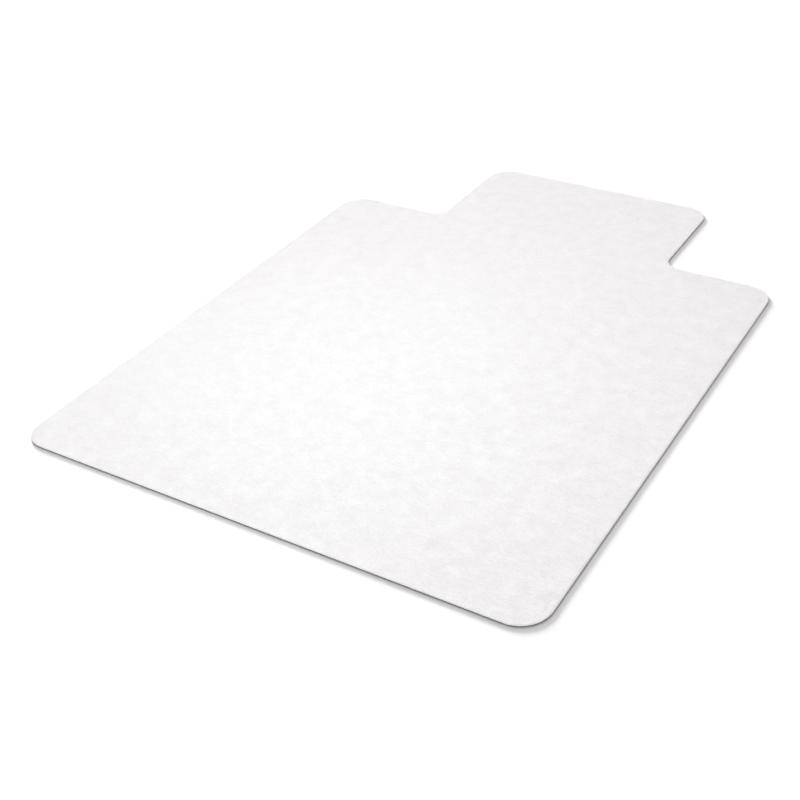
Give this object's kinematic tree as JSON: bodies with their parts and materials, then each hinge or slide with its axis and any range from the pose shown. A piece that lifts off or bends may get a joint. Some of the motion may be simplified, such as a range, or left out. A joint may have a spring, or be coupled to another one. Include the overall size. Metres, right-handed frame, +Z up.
{
  "type": "chair mat",
  "caption": "Flat, frosted, lipped chair mat for hard floors: a wide rounded body and a narrower lip that goes under the desk, with an embossed top film, a rigid core and a soft grip backing.",
  "frame": {"origin": "on the floor, at the middle of the overall outline, body and lip together", "axes": "+Y from the user's edge to the far edge of the lip, which goes under the desk; +X to the right as the user sits facing the desk; +Z up"},
  "size_m": [0.914, 1.219, 0.0023],
  "materials": {
    "backing": "soft frosted PVC with a fine moulded grip pattern",
    "core": "clear rigid PVC, die-cut edge",
    "film": "frosted PVC with a fine mottled emboss"
  },
  "bodies": {
    "root": {"grip_backing": "backing", "core_sheet": "core", "top_film": "film"}
  },
  "joints": []
}
